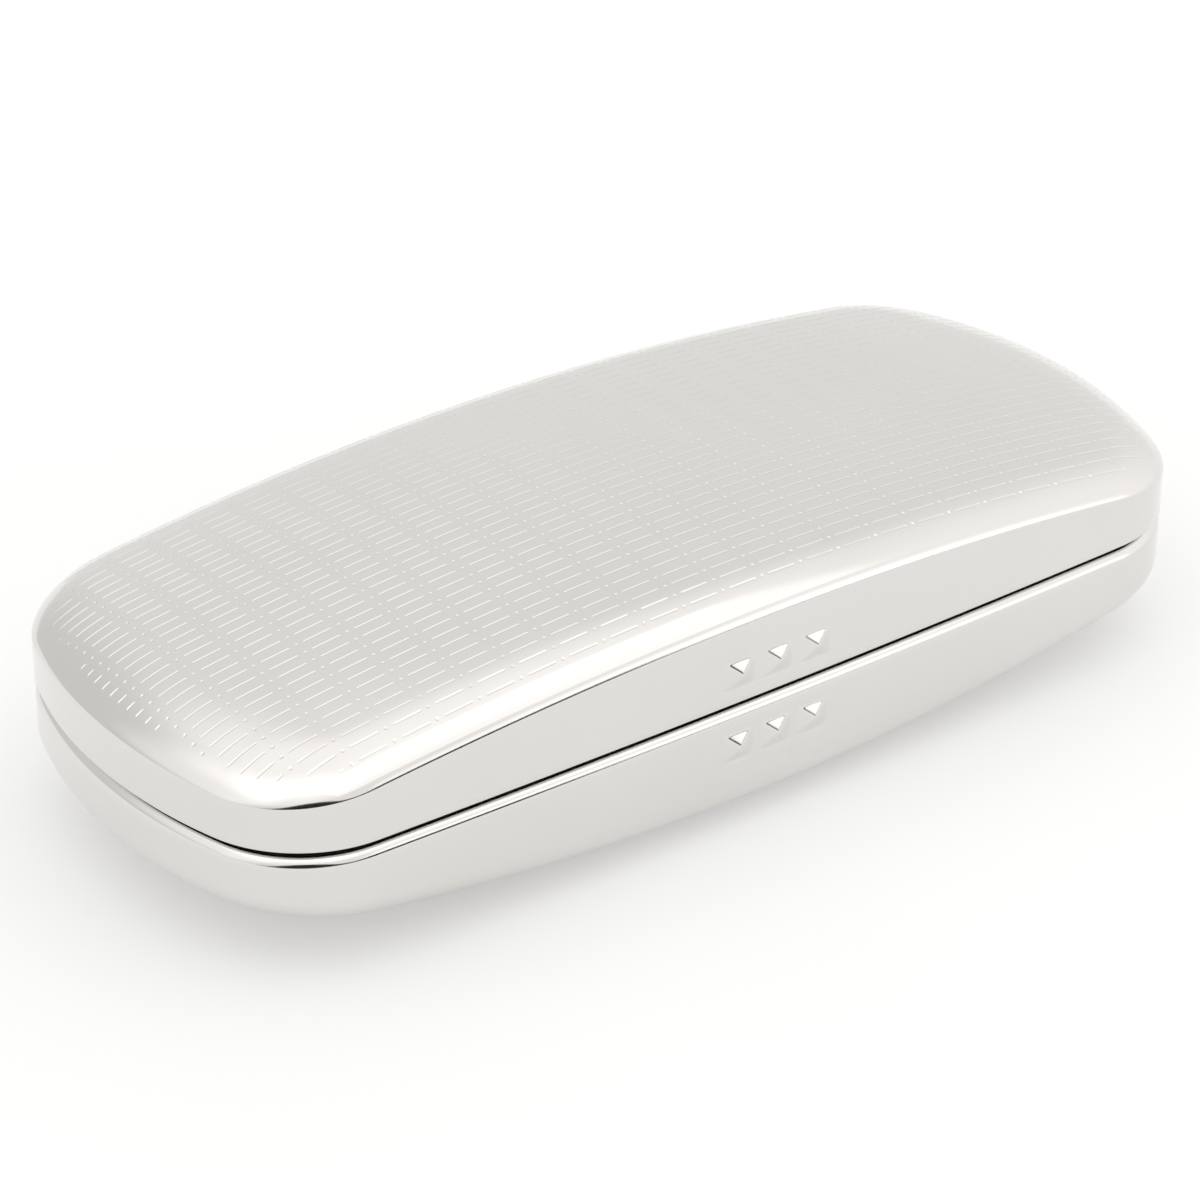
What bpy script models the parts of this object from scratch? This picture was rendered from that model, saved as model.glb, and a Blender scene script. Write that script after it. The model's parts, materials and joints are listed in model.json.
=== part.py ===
"""Spectacle case: two pressed aluminium shells joined by a snap hinge at the back.

Frame: +X along the case, -Y to the front, +Z up, origin on the table under the middle of
the case's box. Each half is a polished shell, a black moulded rim frame behind its edge, a
foam sheet and a flocked liner tray. The lid turns on a pinned steel hinge let into the back
edge, and two bowed spring clips inside the hinge hold it shut or open.
"""

import math

import bmesh
import bpy
import numpy as np
from mathutils import Vector

MM = 0.001

# Plan of the case: a flat-sided oval of three tangent arcs in each quarter
HALF_LENGTH = 80.0 * MM
HALF_WIDTH = 34.0 * MM
SIDE_ARC_R = 2090.0 * MM
END_ARC_R = 70.0 * MM
CORNER_R = 17.2 * MM
ARC_STEPS = (3, 4, 3)
ROUND_STEPS = 20
BORE_STEPS = 12

# Heights, from the table up to the lid's lower edge and on to its crown
SEAM_Z = 19.6 * MM
SEAM_GAP = 0.7 * MM
SHELL_T = 0.8 * MM
FIT_GAP = 0.3 * MM


class Form:
    """The curved floor of a half: its height over the seam, and how it falls to the edges."""

    def __init__(self, side, height, fall_x, fall_y, edge_drop, edge_width, flat=1.0):
        self.side = side
        self.height = height
        self.fall_x = fall_x
        self.fall_y = fall_y
        self.edge_drop = edge_drop
        self.edge_width = edge_width
        self.flat = flat

    def floor(self, x, y):
        rise = self.height - self.fall_x * (x / HALF_LENGTH) ** 2
        rise -= self.fall_y * (y / HALF_WIDTH) ** 2
        return min(rise, self.flat)

    def inward(self, depth, edge_drop):
        """The same form moved inwards by depth, for what lies inside it."""
        return Form(
            self.side,
            self.height - depth,
            self.fall_x,
            self.fall_y,
            edge_drop,
            LINER_EDGE_WIDTH,
            self.flat - depth,
        )


LINER_EDGE_WIDTH = 8.0 * MM
LID = Form(1, 17.66 * MM, 7.1 * MM, 3.14 * MM, 3.3 * MM, 7.5 * MM)
BASE = Form(-1, 20.39 * MM, 8.43 * MM, 2.82 * MM, 4.2 * MM, 8.7 * MM, SEAM_Z)

# Rolled shoulder round the base's mouth
ROLL_R = 2.0 * MM

# Rim frames, as distances in from the shells' outer face
FRAME_OUT = SHELL_T + FIT_GAP
FRAME_IN = 3.9 * MM
LIP_OUT = 2.4 * MM
LIP_TOP = 0.8 * MM
FRAME_START = LIP_TOP + FIT_GAP
LID_FRAME_TOP = 5.0 * MM
BASE_FRAME_BOTTOM = -5.5 * MM

# Foam sheets and flocked liner trays
FOAM_INSET = 13.0 * MM
FOAM_T = 1.1 * MM
FOAM_GAP = 0.5 * MM
LINER_INSET = FRAME_IN + FIT_GAP
LINER_DEPTH = SHELL_T + FOAM_GAP + FOAM_T + FOAM_GAP
LINER_T = 0.8 * MM
BASE_LINER_RIM = 0.5 * MM
LID_LINER_DROP = 4.0 * MM
BASE_LINER_DROP = 4.5 * MM

# Hinge: its axis lies in the back wall's outer face at the height of the seam
HINGE_Y = HALF_WIDTH
KNUCKLE_R = 1.7 * MM
KNUCKLES = 5
KNUCKLE_GAP = 0.4 * MM
LEAF_HALF = 22.0 * MM
LEAF_OUT = 1.1 * MM
LEAF_IN = 1.66 * MM
LEAF_EDGE = 2.1 * MM
LEAF_END = 9.0 * MM
PIN_R = 0.75 * MM
PIN_BORE_R = 0.85 * MM
PIN_HALF = 21.6 * MM
NOTCH_HALF = 22.7 * MM
NOTCH_IN = (-3.0 * MM, 3.0 * MM)
LID_NOTCH_Z = (-1.0 * MM, 2.3 * MM)
BASE_NOTCH_Z = (-3.0 * MM, 1.0 * MM)
POCKET_IN = 2.0 * MM
POCKET_START = 1.5 * MM
POCKET_GAP = 0.4 * MM
TAB_HALF = 24.0 * MM
TAB_START = 3.7 * MM
TAB_END = 10.2 * MM
TAB_SUNK = 0.05 * MM
LEAF_SUNK = 0.02 * MM
ROOT_LAP = 0.5 * MM

SCREW_XS = (-18.0 * MM, 0.0, 18.0 * MM)
SCREW_Z = 6.8 * MM
SHANK_R = 0.7 * MM
HEAD_R = 1.5 * MM
HEAD_IN = 3.85 * MM
HEAD_T = 0.55 * MM
BORE_YS = (36.0 * MM, 29.0 * MM)
TIP_GAP = 0.05 * MM

SPRING_XS = (-9.0 * MM, 9.0 * MM)
SPRING_HALF = 3.0 * MM
SPRING_T = 0.5 * MM
SPRING_HOOK_Z = 3.9 * MM
SPRING_BOW = 3.8 * MM
SPRING_ROOT = 2.4 * MM
SPRING_STEPS = 10
HOOK_LAP = 0.1 * MM
SLOT_IN = (0.5 * MM, 2.5 * MM)
SLOT_HALF = 0.7 * MM
WINDOW_HALF = 3.7 * MM
WINDOW_IN = (1.8 * MM, 9.0 * MM)
WINDOW_Z = 5.2 * MM

STUD_PITCH = 6.15 * MM
STUD_SIZE = (4.3 * MM, 3.7 * MM)
STUD_RISE = 0.8 * MM
LID_STUD_Z = 4.4 * MM
BASE_STUD_Z = -6.45 * MM

STOP_HALF = 1.5 * MM
STOP_IN = (2.25 * MM, 3.6 * MM)
STOP_Z = (-0.4 * MM, 0.95 * MM)

# The box runs from the studs' points to the back of the knuckles
CENTRE_Y = -(KNUCKLE_R - STUD_RISE) / 2


def clear_scene():
    for obj in list(bpy.data.objects):
        bpy.data.objects.remove(obj, do_unlink=True)


def new_collection(name):
    made = bpy.data.collections.new(name)
    bpy.context.scene.collection.children.link(made)
    return made


def material(name, colour, roughness, metallic):
    made = bpy.data.materials.new(name)
    made.use_nodes = True
    shader = made.node_tree.nodes["Principled BSDF"]
    shader.inputs["Base Color"].default_value = (*colour, 1.0)
    shader.inputs["Roughness"].default_value = roughness
    shader.inputs["Metallic"].default_value = metallic
    return made


def plan(inset=0.0):
    """The outline, moved in by inset, from the middle of the back towards the +X end."""
    side = np.array([0.0, HALF_WIDTH - SIDE_ARC_R])
    end = np.array([HALF_LENGTH - END_ARC_R, 0.0])
    span = np.linalg.norm(end - side)
    to_side = SIDE_ARC_R - CORNER_R
    to_end = END_ARC_R - CORNER_R
    along = (span**2 + to_side**2 - to_end**2) / (2 * span)
    across = math.sqrt(to_side**2 - along**2)
    unit = (end - side) / span
    corner = side + unit * along + np.array([unit[1], -unit[0]]) * across
    first = math.atan2(*(corner - side)[::-1])
    second = math.atan2(*(corner - end)[::-1])
    arcs = (
        (side, SIDE_ARC_R, math.pi / 2, first),
        (corner, CORNER_R, first, second),
        (end, END_ARC_R, second, 0.0),
    )
    quarter = []
    for (centre, radius, start, stop), steps in zip(arcs, ARC_STEPS):
        for angle in np.linspace(start, stop, steps, endpoint=False):
            turn = np.array([math.cos(angle), math.sin(angle)])
            quarter.append(centre + (radius - inset) * turn)
    quarter.append(np.array([HALF_LENGTH - inset, 0.0]))
    back = [np.array([x, y]) for x, y in quarter]
    front = [np.array([x, -y]) for x, y in quarter[-2::-1]]
    right = back + front
    left = [np.array([-x, y]) for x, y in right[-2:0:-1]]
    return right + left


def ring(points, height):
    """A closed ring over plan points; height is one number or a function of x and y."""
    rise = height if callable(height) else lambda x, y: height
    return [(x, y, SEAM_Z + rise(x, y)) for x, y in points]


def loft(name, rings, closed=False, fan_first=None, fan_last=None):
    """Quads between rings of equal count, facing out; a fan closes either end on a point."""
    mesh = bmesh.new()
    rows = [[mesh.verts.new(point) for point in one] for one in rings]
    count = len(rows[0])
    pairs = list(zip(rows, rows[1:])) + ([(rows[-1], rows[0])] if closed else [])
    for low, high in pairs:
        for i in range(count):
            j = (i + 1) % count
            mesh.faces.new((low[i], low[j], high[j], high[i]))
    for row, point in ((rows[0], fan_first), (rows[-1], fan_last)):
        if point is not None:
            tip = mesh.verts.new(point)
            for i in range(count):
                mesh.faces.new((row[i], row[(i + 1) % count], tip))
    bmesh.ops.recalc_face_normals(mesh, faces=mesh.faces)
    mesh.normal_update()
    mouth = Vector(np.mean(rings[0], axis=0))
    facing = sum(face.normal.dot(face.calc_center_median() - mouth) for face in mesh.faces)
    if fan_first is None and not closed and facing < 0:
        bmesh.ops.reverse_faces(mesh, faces=mesh.faces)
    return finish(name, mesh)


def finish(name, mesh):
    data = bpy.data.meshes.new(name)
    mesh.to_mesh(data)
    mesh.free()
    return bpy.data.objects.new(name, data)


def dome_rings(form, inset, floor, rings):
    """Rings from the form's edge to near its middle, for the floor of a shell or a tray."""
    edge = plan(inset)
    scales = [1.0 - step / (rings + 1) for step in range(rings + 1)]
    return [ring([point * scale for point in edge], floor) for scale in scales]


def cup_rings(form, inset, mouth, edge_steps, dome_steps):
    """Rings of an open cup: straight wall, rounded edge, then the curved floor."""
    side = form.side
    outer = plan(inset)
    inner = plan(inset + form.edge_width)

    def floor(x, y):
        return side * form.floor(x, y)

    def wall_end(x, y):
        return floor(x, y) - side * form.edge_drop

    rings = [ring(outer, height) for height in mouth] + [ring(outer, wall_end)]
    for step in range(1, edge_steps):
        turn = math.pi / 2 * step / edge_steps
        ease = 1 - math.cos(turn)
        row = []
        for (x0, y0), (x1, y1) in zip(outer, inner):
            x, y = x0 + (x1 - x0) * ease, y0 + (y1 - y0) * ease
            start, stop = wall_end(x0, y0), floor(x1, y1)
            row.append((x, y, SEAM_Z + start + (stop - start) * math.sin(turn)))
        rings.append(row)
    rings += dome_rings(form, inset + form.edge_width, floor, dome_steps)
    return rings, (0.0, 0.0, SEAM_Z + floor(0.0, 0.0))


def solidify(obj, thickness):
    shell = obj.modifiers.new("Thickness", "SOLIDIFY")
    shell.thickness = thickness
    shell.offset = -1
    shell.use_even_offset = True
    shell.use_rim = True


def box(name, low, high):
    mesh = bmesh.new()
    bmesh.ops.create_cube(mesh, size=1.0)
    for vert in mesh.verts:
        vert.co = [a + (b - a) * (c + 0.5) for a, b, c in zip(low, high, vert.co)]
    return finish(name, mesh)


def hinge_box(name, half, inward, heights, x=0.0):
    """A box about the hinge: inward and heights are ranges in from and up from its axis."""
    low = (x - half, HINGE_Y - inward[1], SEAM_Z + heights[0])
    high = (x + half, HINGE_Y - inward[0], SEAM_Z + heights[1])
    return box(name, low, high)


def rod(name, radius, start, end, sides=ROUND_STEPS):
    """A round bar between two points."""
    start, end = np.array(start), np.array(end)
    mesh = bmesh.new()
    length = float(np.linalg.norm(end - start))
    bmesh.ops.create_cone(
        mesh, cap_ends=True, segments=sides, radius1=radius, radius2=radius, depth=length
    )
    made = finish(name, mesh)
    for vert in made.data.vertices:
        x, y, z = vert.co
        vert.co = (z, x, y) if abs(end[0] - start[0]) > 0 else (x, z, y)
    if abs(end[0] - start[0]) == 0:
        made.data.flip_normals()
    middle = (start + end) / 2
    for vert in made.data.vertices:
        vert.co = [a + b for a, b in zip(vert.co, middle)]
    return made


def boolean(obj, operation, helpers):
    """Unites obj with helpers, or cuts them from it; each helper stays as a wire."""
    for helper in helpers:
        if not helper.users_collection:
            CUTTERS.objects.link(helper)
        helper.hide_render = True
        helper.display_type = "WIRE"
        step = obj.modifiers.new(helper.name, "BOOLEAN")
        step.operation = operation
        step.solver = "EXACT"
        step.object = helper
        helper.parent = CASE


def place(obj, owner, colour):
    """Puts a finished piece in the case's collection, on the empty that carries it."""
    PARTS.objects.link(obj)
    obj.data.materials.append(colour)
    obj.parent = owner
    if owner is LID_AXIS:
        obj.location = (0.0, -HINGE_Y, -SEAM_Z)
    obj.data.shade_smooth()
    obj.data.set_sharp_from_angle(angle=math.radians(32))
    return obj


def studs(name, height):
    """The three small pyramids pressed out of a shell's front wall."""
    made = []
    for index in (-1, 0, 1):
        mesh = bmesh.new()
        bmesh.ops.create_cone(
            mesh, cap_ends=True, segments=4, radius1=1.0, radius2=0.0, depth=1.0
        )
        sunk = SHELL_T / 2
        for vert in mesh.verts:
            x, y, z = vert.co
            turned_x, turned_z = (x - y) / 2, (x + y) / 2
            depth = (z + 0.5) * (STUD_RISE + sunk) - sunk
            vert.co = (
                turned_x * STUD_SIZE[0] + index * STUD_PITCH,
                -HALF_WIDTH - depth,
                turned_z * STUD_SIZE[1] + SEAM_Z + height,
            )
        bmesh.ops.recalc_face_normals(mesh, faces=mesh.faces)
        made.append(finish(f"{name}_{index + 2}", mesh))
    return made


def lid_shell():
    rings, middle = cup_rings(LID, 0.0, [0.0], 4, 3)
    shell = loft("lid_shell", rings, fan_last=middle)
    solidify(shell, SHELL_T)
    notch = hinge_box("lid_notch", NOTCH_HALF, NOTCH_IN, LID_NOTCH_Z)
    boolean(shell, "UNION", studs("lid_stud", LID_STUD_Z))
    boolean(shell, "DIFFERENCE", [notch])
    return place(shell, LID_AXIS, POLISHED)


def base_shell():
    wall_top = -SEAM_GAP - ROLL_R
    rings, middle = cup_rings(BASE, 0.0, [wall_top], 4, 3)
    roll = []
    for step in range(3):
        turn = math.pi / 2 * (1 - step / 3)
        inset = ROLL_R * (1 - math.cos(turn))
        roll.append(ring(plan(inset), wall_top + ROLL_R * math.sin(turn)))
    shell = loft("base_shell", roll + rings, fan_last=middle)
    solidify(shell, SHELL_T)
    notch = hinge_box("base_notch", NOTCH_HALF, NOTCH_IN, BASE_NOTCH_Z)
    boolean(shell, "UNION", studs("base_stud", BASE_STUD_Z))
    boolean(shell, "DIFFERENCE", [notch])
    return place(shell, CASE, POLISHED)


def rim_frame(name, side, profile, owner):
    """A moulded ring behind a shell's edge, with a tab for the hinge leaf at the back."""
    frame = loft(name, [ring(plan(inset), z) for inset, z in profile], closed=True)
    tab_z = sorted((side * TAB_START, side * TAB_END))
    pocket_z = sorted((-side * POCKET_START, side * (LEAF_END + POCKET_GAP)))
    tab = hinge_box(f"{name}_tab", TAB_HALF, (POCKET_IN, FRAME_IN - TAB_SUNK), tab_z)
    pocket = hinge_box(f"{name}_pocket", NOTCH_HALF, (NOTCH_IN[0], POCKET_IN), pocket_z)
    boolean(frame, "UNION", [tab])
    boolean(frame, "DIFFERENCE", [pocket] + windows(name))
    seat_y = HINGE_Y - HEAD_IN + HEAD_T + FIT_GAP
    z = SEAM_Z + side * SCREW_Z
    for index, x in enumerate(SCREW_XS, 1):
        outer, inner = ((x, y, z) for y in BORE_YS)
        bore = rod(f"{name}_bore_{index}", SHANK_R + FIT_GAP, outer, inner, BORE_STEPS)
        seat = rod(
            f"{name}_seat_{index}", HEAD_R + FIT_GAP, (x, seat_y, z), inner, BORE_STEPS
        )
        boolean(frame, "DIFFERENCE", [bore, seat])
    return frame


def windows(name):
    """Openings that let the spring clips bow into the case."""
    return [
        hinge_box(f"{name}_window_{i}", WINDOW_HALF, WINDOW_IN, (-WINDOW_Z, WINDOW_Z), x)
        for i, x in enumerate(SPRING_XS, 1)
    ]


def lid_frame():
    profile = [
        (FRAME_OUT, FRAME_START),
        (FRAME_OUT, LID_FRAME_TOP),
        (FRAME_IN, LID_FRAME_TOP),
        (FRAME_IN, FRAME_START),
    ]
    return place(rim_frame("lid_frame", 1, profile, LID_AXIS), LID_AXIS, MOULDED)


def base_frame():
    step_z = -SEAM_GAP - ROLL_R - FIT_GAP
    profile = [
        (FRAME_OUT, BASE_FRAME_BOTTOM),
        (FRAME_OUT, step_z),
        (LIP_OUT, step_z),
        (LIP_OUT, LIP_TOP),
        (FRAME_IN, LIP_TOP),
        (FRAME_IN, BASE_FRAME_BOTTOM),
    ]
    frame = rim_frame("base_frame", -1, profile, CASE)
    seat = stop_box("base_frame_stop_seat", FIT_GAP)
    boolean(frame, "DIFFERENCE", [seat])
    return place(frame, CASE, MOULDED)


def stop_box(name, grow=0.0):
    low = (-STOP_HALF - grow, -HALF_WIDTH + STOP_IN[0] - grow, SEAM_Z + STOP_Z[0] - grow)
    high = (STOP_HALF + grow, -HALF_WIDTH + STOP_IN[1] + grow, SEAM_Z + STOP_Z[1] + grow)
    return box(name, low, high)


def foam(name, form, owner):
    """A foam sheet glued to the shell's floor, under the liner."""
    side = form.side
    outer_depth = SHELL_T + FOAM_GAP

    def outer(x, y):
        return side * (form.floor(x, y) - outer_depth)

    def inner(x, y):
        return side * (form.floor(x, y) - outer_depth - FOAM_T)

    faces = dome_rings(form, FOAM_INSET, outer, 2)[::-1]
    faces += dome_rings(form, FOAM_INSET, inner, 2)
    sheet = loft(
        name,
        faces,
        fan_first=(0.0, 0.0, SEAM_Z + outer(0.0, 0.0)),
        fan_last=(0.0, 0.0, SEAM_Z + inner(0.0, 0.0)),
    )
    return place(sheet, owner, FOAM)


def liner(name, form, edge_drop, rim, owner):
    """A thin formed tray with a flocked face, cut away round the spring clips."""
    inner_form = form.inward(LINER_DEPTH, edge_drop)
    rings, middle = cup_rings(inner_form, LINER_INSET, [rim], 3, 3)
    tray = loft(name, rings, fan_last=middle)
    solidify(tray, LINER_T)
    boolean(tray, "DIFFERENCE", windows(name))
    return place(tray, owner, FLOCK)


def knuckle_spans(first):
    """The x ranges of every second knuckle, from knuckle number first."""
    length = (2 * LEAF_HALF - (KNUCKLES - 1) * KNUCKLE_GAP) / KNUCKLES
    starts = [-LEAF_HALF + i * (length + KNUCKLE_GAP) for i in range(KNUCKLES)]
    return [(start, start + length) for start in starts[first::2]]


def leaf(name, side, first, owner):
    """A steel leaf with curled knuckles, a slot for each spring hook and screw holes."""
    plate_z = sorted((side * LEAF_EDGE, side * LEAF_END))
    plate = hinge_box(name, LEAF_HALF, (LEAF_OUT, LEAF_IN), plate_z)
    root_in = (LEAF_OUT + LEAF_SUNK, LEAF_IN - LEAF_SUNK)
    root_z = sorted((0.0, side * (LEAF_EDGE + ROOT_LAP)))
    for index, (start, stop) in enumerate(knuckle_spans(first), 1):
        ends = ((start, HINGE_Y, SEAM_Z), (stop, HINGE_Y, SEAM_Z))
        barrel = rod(f"{name}_barrel_{index}", KNUCKLE_R, *ends, ROUND_STEPS)
        half, middle = (stop - start) / 2, (start + stop) / 2
        root = hinge_box(f"{name}_root_{index}", half, root_in, root_z, middle)
        boolean(plate, "UNION", [root, barrel])
    ends = ((-TAB_HALF, HINGE_Y, SEAM_Z), (TAB_HALF, HINGE_Y, SEAM_Z))
    bore = rod(f"{name}_bore", PIN_BORE_R, *ends, ROUND_STEPS)
    slot_z = sorted(side * (SPRING_HOOK_Z + end * SLOT_HALF) for end in (-1, 1))
    slots = [
        hinge_box(f"{name}_slot_{i}", SPRING_HALF + FIT_GAP, SLOT_IN, slot_z, x)
        for i, x in enumerate(SPRING_XS, 1)
    ]
    z = SEAM_Z + side * SCREW_Z
    holes = [
        rod(f"{name}_hole_{i}", SHANK_R + FIT_GAP, *((x, y, z) for y in BORE_YS), BORE_STEPS)
        for i, x in enumerate(SCREW_XS, 1)
    ]
    boolean(plate, "DIFFERENCE", [bore, *slots, *holes])
    return place(plate, owner, STEEL)


def screws(name, side, owner):
    """Three short screws that hold a leaf to its frame, their heads sunk in the frame."""
    for index, x in enumerate(SCREW_XS, 1):
        profile = bmesh.new()
        tip = HINGE_Y - LEAF_OUT - TIP_GAP
        head_y = HINGE_Y - HEAD_IN
        shape = [
            (0.0, tip),
            (SHANK_R, tip),
            (SHANK_R, head_y + HEAD_T),
            (HEAD_R, head_y + HEAD_T),
            (HEAD_R, head_y),
            (0.0, head_y),
        ]
        verts = [profile.verts.new((radius, 0.0, height)) for radius, height in shape]
        for low, high in zip(verts, verts[1:]):
            profile.edges.new((low, high))
        one = finish(f"{name}_{index}", profile)
        turn = one.modifiers.new("Turn", "SCREW")
        turn.steps = turn.render_steps = BORE_STEPS
        turn.use_merge_vertices = True
        turn.merge_threshold = 0.01 * MM
        place(one, owner, STEEL)
        one.rotation_euler = (math.radians(-90), 0.0, 0.0)
        z = SEAM_Z + side * SCREW_Z
        offset = one.location.copy()
        one.location = (x + offset.x, offset.y, z + offset.z)


def spring(index, x):
    """A bowed flat spring clip hooked through both leaves, inside the barrel."""
    path = [(LEAF_OUT + HOOK_LAP, -SPRING_HOOK_Z)]
    for step in range(SPRING_STEPS + 1):
        turn = -math.pi / 2 + math.pi * step / SPRING_STEPS
        path.append(
            (SPRING_ROOT + SPRING_BOW * math.cos(turn), SPRING_HOOK_Z * math.sin(turn))
        )
    path.append((LEAF_OUT + HOOK_LAP, SPRING_HOOK_Z))
    mesh = bmesh.new()
    rows = []
    for inward, height in path:
        y, z = HINGE_Y - inward, SEAM_Z + height
        rows.append([mesh.verts.new((x + s * SPRING_HALF, y, z)) for s in (-1, 1)])
    for low, high in zip(rows, rows[1:]):
        mesh.faces.new((low[0], low[1], high[1], high[0]))
    strip = finish(f"snap_spring_{index}", mesh)
    solidify(strip, SPRING_T)
    strip.modifiers["Thickness"].offset = 0
    return place(strip, CASE, SPRING_STEEL)


clear_scene()
PARTS = new_collection("spectacle_case")
CUTTERS = new_collection("cutters")
CASE = bpy.data.objects.new("case", None)
CASE.location = (0.0, CENTRE_Y, 0.0)
LID_AXIS = bpy.data.objects.new("lid_axis", None)
LID_AXIS.parent = CASE
LID_AXIS.location = (0.0, HINGE_Y, SEAM_Z)
PARTS.objects.link(CASE)
PARTS.objects.link(LID_AXIS)

POLISHED = material("polished_aluminium", (0.86, 0.85, 0.84), 0.12, 1.0)
MOULDED = material("black_moulding", (0.02, 0.02, 0.022), 0.5, 0.0)
FLOCK = material("grey_flock", (0.09, 0.09, 0.10), 0.95, 0.0)
FOAM = material("foam", (0.35, 0.35, 0.36), 0.9, 0.0)
STEEL = material("plated_steel", (0.62, 0.62, 0.61), 0.3, 1.0)
SPRING_STEEL = material("spring_steel", (0.30, 0.31, 0.33), 0.35, 1.0)
RUBBER = material("grey_rubber", (0.16, 0.16, 0.17), 0.8, 0.0)

base_shell()
base_frame()
foam("base_foam", BASE, CASE)
liner("base_liner", BASE, BASE_LINER_DROP, BASE_LINER_RIM, CASE)
leaf("base_leaf", -1, 0, CASE)
screws("base_leaf_screw", -1, CASE)
place(stop_box("front_stop"), CASE, RUBBER)
pin_ends = ((-PIN_HALF, HINGE_Y, SEAM_Z), (PIN_HALF, HINGE_Y, SEAM_Z))
place(rod("hinge_pin", PIN_R, *pin_ends), CASE, STEEL)

lid_shell()
lid_frame()
foam("lid_foam", LID, LID_AXIS)
liner("lid_liner", LID, LID_LINER_DROP, FRAME_START, LID_AXIS)
leaf("lid_leaf", 1, 1, LID_AXIS)
screws("lid_leaf_screw", 1, LID_AXIS)

for number, place_x in enumerate(SPRING_XS, 1):
    spring(number, place_x)
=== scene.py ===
"""Looks of the spectacle case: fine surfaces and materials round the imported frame."""

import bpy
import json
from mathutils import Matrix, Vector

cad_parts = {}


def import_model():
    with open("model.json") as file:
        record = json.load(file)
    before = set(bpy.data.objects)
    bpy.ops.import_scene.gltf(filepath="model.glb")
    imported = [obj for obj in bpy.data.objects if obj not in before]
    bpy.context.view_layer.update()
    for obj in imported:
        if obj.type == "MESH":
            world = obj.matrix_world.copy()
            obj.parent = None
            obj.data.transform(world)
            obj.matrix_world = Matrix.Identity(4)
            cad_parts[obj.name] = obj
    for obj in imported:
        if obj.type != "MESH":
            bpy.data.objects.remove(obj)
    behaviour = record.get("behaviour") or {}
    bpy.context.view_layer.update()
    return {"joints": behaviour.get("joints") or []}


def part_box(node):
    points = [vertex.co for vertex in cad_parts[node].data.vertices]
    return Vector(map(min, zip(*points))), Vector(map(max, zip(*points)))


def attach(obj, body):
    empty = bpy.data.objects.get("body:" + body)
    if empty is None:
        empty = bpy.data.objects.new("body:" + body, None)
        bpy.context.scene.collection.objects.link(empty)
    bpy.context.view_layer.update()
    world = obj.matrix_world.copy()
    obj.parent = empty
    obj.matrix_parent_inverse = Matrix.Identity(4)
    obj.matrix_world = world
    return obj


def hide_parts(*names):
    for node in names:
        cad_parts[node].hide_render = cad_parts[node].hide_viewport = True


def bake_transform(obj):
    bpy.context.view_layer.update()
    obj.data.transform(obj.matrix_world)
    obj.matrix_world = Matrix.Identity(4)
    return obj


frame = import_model()

import json
import math

import bmesh
import bpy
import numpy as np
from mathutils import Matrix, Vector
from mathutils.geometry import delaunay_2d_cdt

MM = 0.001

# ---------------------------------------------------------------- plan and heights
# Work is done about the middle of the plan at the height of the seam, then moved there.
HINGE = Vector(frame["joints"][0]["pos_m"])
HALF_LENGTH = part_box("lid_shell")[1].x
HALF_WIDTH = 34.0 * MM
ORIGIN = Vector((0.0, HINGE.y - HALF_WIDTH, HINGE.z))
SIDE_ARC_R = 2090.0 * MM
END_ARC_R = 70.0 * MM
CORNER_R = 17.2 * MM

SHELL_T = 0.8 * MM
SHOULDER_Z = -2.7 * MM
ROLL_IN, ROLL_RISE = 2.0 * MM, 1.85 * MM
NOTCH_HALF = 22.7 * MM
LID_NOTCH_Z = 2.3 * MM
BASE_NOTCH_Z = -3.0 * MM
WINDOW_XS = (5.3 * MM, 12.7 * MM)
STEP = 0.02 * MM
FLAT_SOFT = 0.2 * MM
# Where a rounded corner's middle lies, as a share of the corner's size
CORNER_MID = 0.3


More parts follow.
